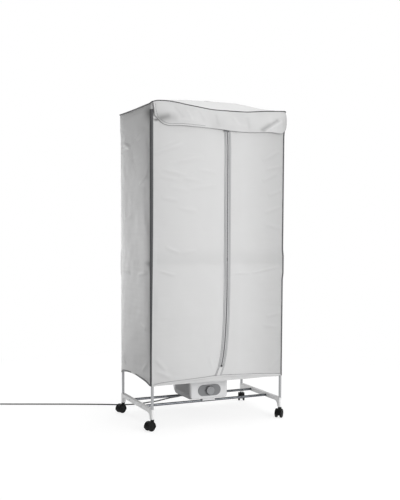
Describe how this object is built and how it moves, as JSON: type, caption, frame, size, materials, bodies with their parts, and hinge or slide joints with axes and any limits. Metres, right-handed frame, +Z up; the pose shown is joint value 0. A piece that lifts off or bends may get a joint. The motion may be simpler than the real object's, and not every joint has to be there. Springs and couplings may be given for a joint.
{
  "type": "portable clothes dryer",
  "caption": "Free-standing fabric clothes dryer: tube frame on casters, zipped cover with a front flap, and a fan heater with a timer knob slung under the cabinet.",
  "frame": {"origin": "on the floor under the middle of the four posts", "axes": "+Z up, -Y towards the zipped front with the timer, +X to the right seen from the front"},
  "size_m": [1.3385, 0.8777, 1.5028],
  "materials": {
    "post_steel": "grey powder-coated steel tube, satin",
    "bracket_plastic": "white injection-moulded polypropylene, semi-gloss",
    "bar_chrome": "bright chrome-plated steel tube",
    "zinc_steel": "zinc-plated steel",
    "caster_plastic": "black moulded nylon, satin",
    "cover_fabric": "light grey coated polyester cloth, matt",
    "piping_fabric": "dark grey woven binding tape",
    "zip_nylon": "grey nylon zip tape and coil teeth",
    "slider_metal": "black enamelled zinc",
    "heater_light_plastic": "light grey moulded plastic, fine texture",
    "heater_dark_plastic": "mid grey moulded plastic, fine texture",
    "panel_plastic": "grey moulded plastic, matt",
    "knob_plastic": "grey moulded plastic, satin",
    "inner_plastic": "black moulded plastic",
    "motor_steel": "plain steel case",
    "element_aluminium": "bare aluminium fins",
    "cord_rubber": "black flexible sheath, satin",
    "pin_brass": "nickel-plated brass"
  },
  "bodies": {
    "frame": {"caster_stems": "zinc_steel", "control_panel": "panel_plastic", "cord_coil": "cord_rubber", "cord_gland": "cord_rubber", "cover_back": "cover_fabric", "cover_bottom": "cover_fabric", "cover_front_left": "cover_fabric", "cover_front_right": "cover_fabric", "cover_piping": "piping_fabric", "cover_side_left": "cover_fabric", "cover_side_right": "cover_fabric", "cover_top": "cover_fabric", "crossbar_bottom_front": "bar_chrome", "crossbar_bottom_rear": "bar_chrome", "crossbar_middle_front": "bar_chrome", "crossbar_middle_rear": "bar_chrome", "crossbar_top_front": "bar_chrome", "crossbar_top_rear": "bar_chrome", "fan_motor": "motor_steel", "frame_screws": "zinc_steel", "heater_front_cover": "heater_light_plastic", "heater_housing": "heater_dark_plastic", "heater_rear_cover": "heater_light_plastic", "heating_element": "element_aluminium", "lower_post_front_left": "post_steel", "lower_post_front_right": "post_steel", "lower_post_rear_left": "post_steel", "lower_post_rear_right": "post_steel", "outlet_grille": "heater_dark_plastic", "plug_body": "cord_rubber", "plug_pins": "pin_brass", "power_cord": "cord_rubber", "side_bracket_bottom_left": "bracket_plastic", "side_bracket_bottom_right": "bracket_plastic", "side_bracket_middle_left": "bracket_plastic", "side_bracket_middle_right": "bracket_plastic", "side_bracket_top_left": "bracket_plastic", "side_bracket_top_right": "bracket_plastic", "timer_switch": "inner_plastic", "upper_post_front_left": "post_steel", "upper_post_front_right": "post_steel", "upper_post_rear_left": "post_steel", "upper_post_rear_right": "post_steel", "zip_chain": "zip_nylon"},
    "caster_front_left": {"caster_hood_front_left": "caster_plastic"},
    "wheel_front_left_a": {"caster_wheel_front_left_a": "caster_plastic"},
    "wheel_front_left_b": {"caster_wheel_front_left_b": "caster_plastic"},
    "caster_front_right": {"caster_hood_front_right": "caster_plastic"},
    "wheel_front_right_a": {"caster_wheel_front_right_a": "caster_plastic"},
    "wheel_front_right_b": {"caster_wheel_front_right_b": "caster_plastic"},
    "caster_rear_left": {"caster_hood_rear_left": "caster_plastic"},
    "wheel_rear_left_a": {"caster_wheel_rear_left_a": "caster_plastic"},
    "wheel_rear_left_b": {"caster_wheel_rear_left_b": "caster_plastic"},
    "caster_rear_right": {"caster_hood_rear_right": "caster_plastic"},
    "wheel_rear_right_a": {"caster_wheel_rear_right_a": "caster_plastic"},
    "wheel_rear_right_b": {"caster_wheel_rear_right_b": "caster_plastic"},
    "knob": {"timer_knob": "knob_plastic"},
    "impeller": {"fan_impeller": "inner_plastic"},
    "slider": {"zip_slider": "slider_metal"},
    "flap": {"front_flap": "cover_fabric"}
  },
  "joints": [
    {"name": "swivel_front_left", "type": "hinge", "parent": "frame", "child": "caster_front_left", "pos_m": [-0.328, -0.198, 0.04], "axis": [0, 0, 1], "continuous": true},
    {"name": "wheel_front_left_a_spin", "type": "hinge", "parent": "caster_front_left", "child": "wheel_front_left_a", "pos_m": [-0.34116, -0.20279, 0.02], "axis": [-0.342, 0.9397, 0], "continuous": true},
    {"name": "wheel_front_left_b_spin", "type": "hinge", "parent": "caster_front_left", "child": "wheel_front_left_b", "pos_m": [-0.34116, -0.20279, 0.02], "axis": [-0.342, 0.9397, 0], "continuous": true},
    {"name": "swivel_front_right", "type": "hinge", "parent": "frame", "child": "caster_front_right", "pos_m": [0.328, -0.198, 0.04], "axis": [0, 0, 1], "continuous": true},
    {"name": "wheel_front_right_a_spin", "type": "hinge", "parent": "caster_front_right", "child": "wheel_front_right_a", "pos_m": [0.31793, -0.20772, 0.02], "axis": [-0.6947, 0.7193, 0], "continuous": true},
    {"name": "wheel_front_right_b_spin", "type": "hinge", "parent": "caster_front_right", "child": "wheel_front_right_b", "pos_m": [0.31793, -0.20772, 0.02], "axis": [-0.6947, 0.7193, 0], "continuous": true},
    {"name": "swivel_rear_left", "type": "hinge", "parent": "frame", "child": "caster_rear_left", "pos_m": [-0.328, 0.198, 0.04], "axis": [0, 0, 1], "continuous": true},
    {"name": "wheel_rear_left_a_spin", "type": "hinge", "parent": "caster_rear_left", "child": "wheel_rear_left_a", "pos_m": [-0.34107, 0.19298, 0.02], "axis": [-0.3584, 0.9336, 0], "continuous": true},
    {"name": "wheel_rear_left_b_spin", "type": "hinge", "parent": "caster_rear_left", "child": "wheel_rear_left_b", "pos_m": [-0.34107, 0.19298, 0.02], "axis": [-0.3584, 0.9336, 0], "continuous": true},
    {"name": "swivel_rear_right", "type": "hinge", "parent": "frame", "child": "caster_rear_right", "pos_m": [0.328, 0.198, 0.04], "axis": [0, 0, 1], "continuous": true},
    {"name": "wheel_rear_right_a_spin", "type": "hinge", "parent": "caster_rear_right", "child": "wheel_rear_right_a", "pos_m": [0.33381, 0.21074, 0.02], "axis": [0.91, -0.4147, 0], "continuous": true},
    {"name": "wheel_rear_right_b_spin", "type": "hinge", "parent": "caster_rear_right", "child": "wheel_rear_right_b", "pos_m": [0.33381, 0.21074, 0.02], "axis": [0.91, -0.4147, 0], "continuous": true},
    {"name": "timer_turn", "type": "hinge", "parent": "frame", "child": "knob", "pos_m": [0, -0.108, 0.138], "axis": [0, 1, 0], "range_deg": [0, 300]},
    {"name": "fan_spin", "type": "hinge", "parent": "frame", "child": "impeller", "pos_m": [0, 0.014, 0.151], "axis": [0, 0, 1], "continuous": true},
    {"name": "zip_slide", "type": "slide", "parent": "frame", "child": "slider", "axis": [0, 0, -1], "range_m": [0, 0.66]},
    {"name": "flap_lift", "type": "hinge", "parent": "frame", "child": "flap", "pos_m": [0, -0.211, 1.424], "axis": [-1, 0, 0], "range_deg": [0, 150]}
  ]
}
